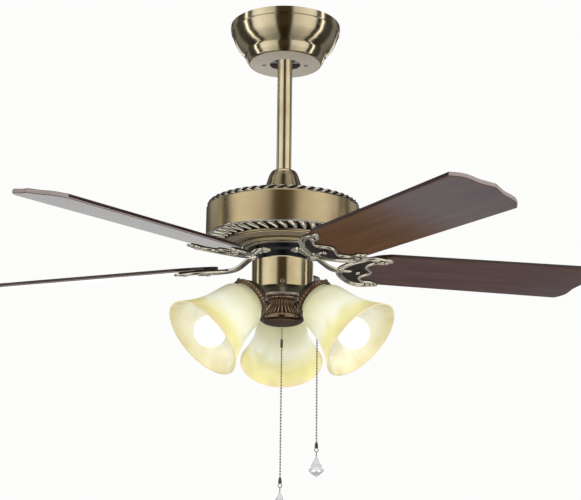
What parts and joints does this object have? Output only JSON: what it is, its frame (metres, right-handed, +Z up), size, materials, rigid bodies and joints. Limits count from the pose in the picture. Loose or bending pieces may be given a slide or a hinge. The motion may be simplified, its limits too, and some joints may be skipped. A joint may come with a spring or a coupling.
{
  "type": "ceiling fan with light",
  "caption": "Downrod ceiling fan with a drum motor, pitched wooden blades on scrolled irons, a light kit with tilted bell glass shades and pull chains.",
  "frame": {"origin": "middle of the ceiling bracket's top face, between its two slots, on the ceiling", "axes": "+Z up towards the ceiling along the fan's axis, the front of the fan faces -Y, +X to its right as seen from the front"},
  "size_m": [1.0171, 0.9991, 0.8156],
  "materials": {
    "alabaster_glass": "amber alabaster glass, satin",
    "aluminium": "die cast",
    "brass_cast": "cast antique brass, polished edges on a dark ground",
    "brass_polished": "polished antique brass",
    "brass_satin": "satin brushed antique brass",
    "bronze_dark": "dark copper-bronze patina",
    "bulb_glass": "frosted white",
    "ceramic": "glazed porcelain",
    "chain": "gunmetal ball chain",
    "copper": "enamelled copper wire",
    "crystal": "clear cut crystal",
    "laminations": "bare laminated steel",
    "plastic_black": "moulded",
    "steel": "zinc-plated",
    "steel_black": "black paint",
    "wire": "PVC insulation",
    "wood": "dark walnut, semi-gloss lacquer"
  },
  "bodies": {
    "ceiling_mount": {"ceiling_bracket": "steel", "canopy": "brass_polished", "canopy_screws": "steel"},
    "fan_body": {"downrod_pins": "steel", "motor_yoke": "steel", "motor_shaft": "steel", "bearing_inner_rings": "steel", "shaft_nut": "steel", "switch_plate": "steel", "downrod": "brass_polished", "switch_housing": "brass_polished", "switch_housing_screws": "brass_polished", "fan_chain_guide": "brass_polished", "light_kit_fitter": "brass_polished", "motor_housing": "brass_satin", "yoke_cover": "brass_satin", "lower_trim_ring": "brass_satin", "upper_rope_trim": "brass_cast", "lower_vent_ring": "brass_cast", "shade_holders": "bronze_dark", "shade_thumbscrews": "bronze_dark", "fluted_bell": "bronze_dark", "finial": "bronze_dark", "hanger_ball": "plastic_black", "fan_speed_switch": "plastic_black", "light_pull_switch": "plastic_black", "capacitor": "plastic_black", "stator_core": "laminations", "stator_windings": "copper", "glass_shade_1": "alabaster_glass", "glass_shade_2": "alabaster_glass", "glass_shade_3": "alabaster_glass", "bulb_1": "bulb_glass", "bulb_2": "bulb_glass", "bulb_3": "bulb_glass", "lamp_sockets": "ceramic", "lead_wires": "wire"},
    "rotor": {"rotor_upper_shell": "aluminium", "rotor_lower_shell": "aluminium", "rotor_ring": "laminations", "bearing_outer_rings": "steel", "flywheel": "steel_black", "iron_screws": "brass_cast", "blade_screws": "brass_cast", "blade_iron_1": "brass_cast", "blade_iron_2": "brass_cast", "blade_iron_3": "brass_cast", "blade_iron_4": "brass_cast", "blade_iron_5": "brass_cast", "blade_1": "wood", "blade_2": "wood", "blade_3": "wood", "blade_4": "wood", "blade_5": "wood"},
    "light_pull": {"light_pull_chain": "chain", "light_chain_fittings": "chain", "light_chain_pendant": "crystal"},
    "fan_pull": {"fan_pull_chain": "chain", "fan_chain_fittings": "chain", "fan_chain_pendant": "crystal"}
  },
  "joints": [
    {"name": "hanger_tilt", "type": "hinge", "parent": "ceiling_mount", "child": "fan_body", "pos_m": [0, 0, -0.038], "axis": [0, 1, 0], "range_deg": [-12, 12]},
    {"name": "rotor_spin", "type": "hinge", "parent": "fan_body", "child": "rotor", "pos_m": [0, 0, -0.3475], "axis": [0, 0, 1], "continuous": true},
    {"name": "light_pull_slide", "type": "slide", "parent": "fan_body", "child": "light_pull", "axis": [0, 0, -1], "range_m": [0, 0.008], "stiffness_N_per_m": 600, "springref_m": -0.002},
    {"name": "fan_pull_slide", "type": "slide", "parent": "fan_body", "child": "fan_pull", "axis": [0, 0, -1], "range_m": [0, 0.008], "stiffness_N_per_m": 600, "springref_m": -0.002}
  ]
}
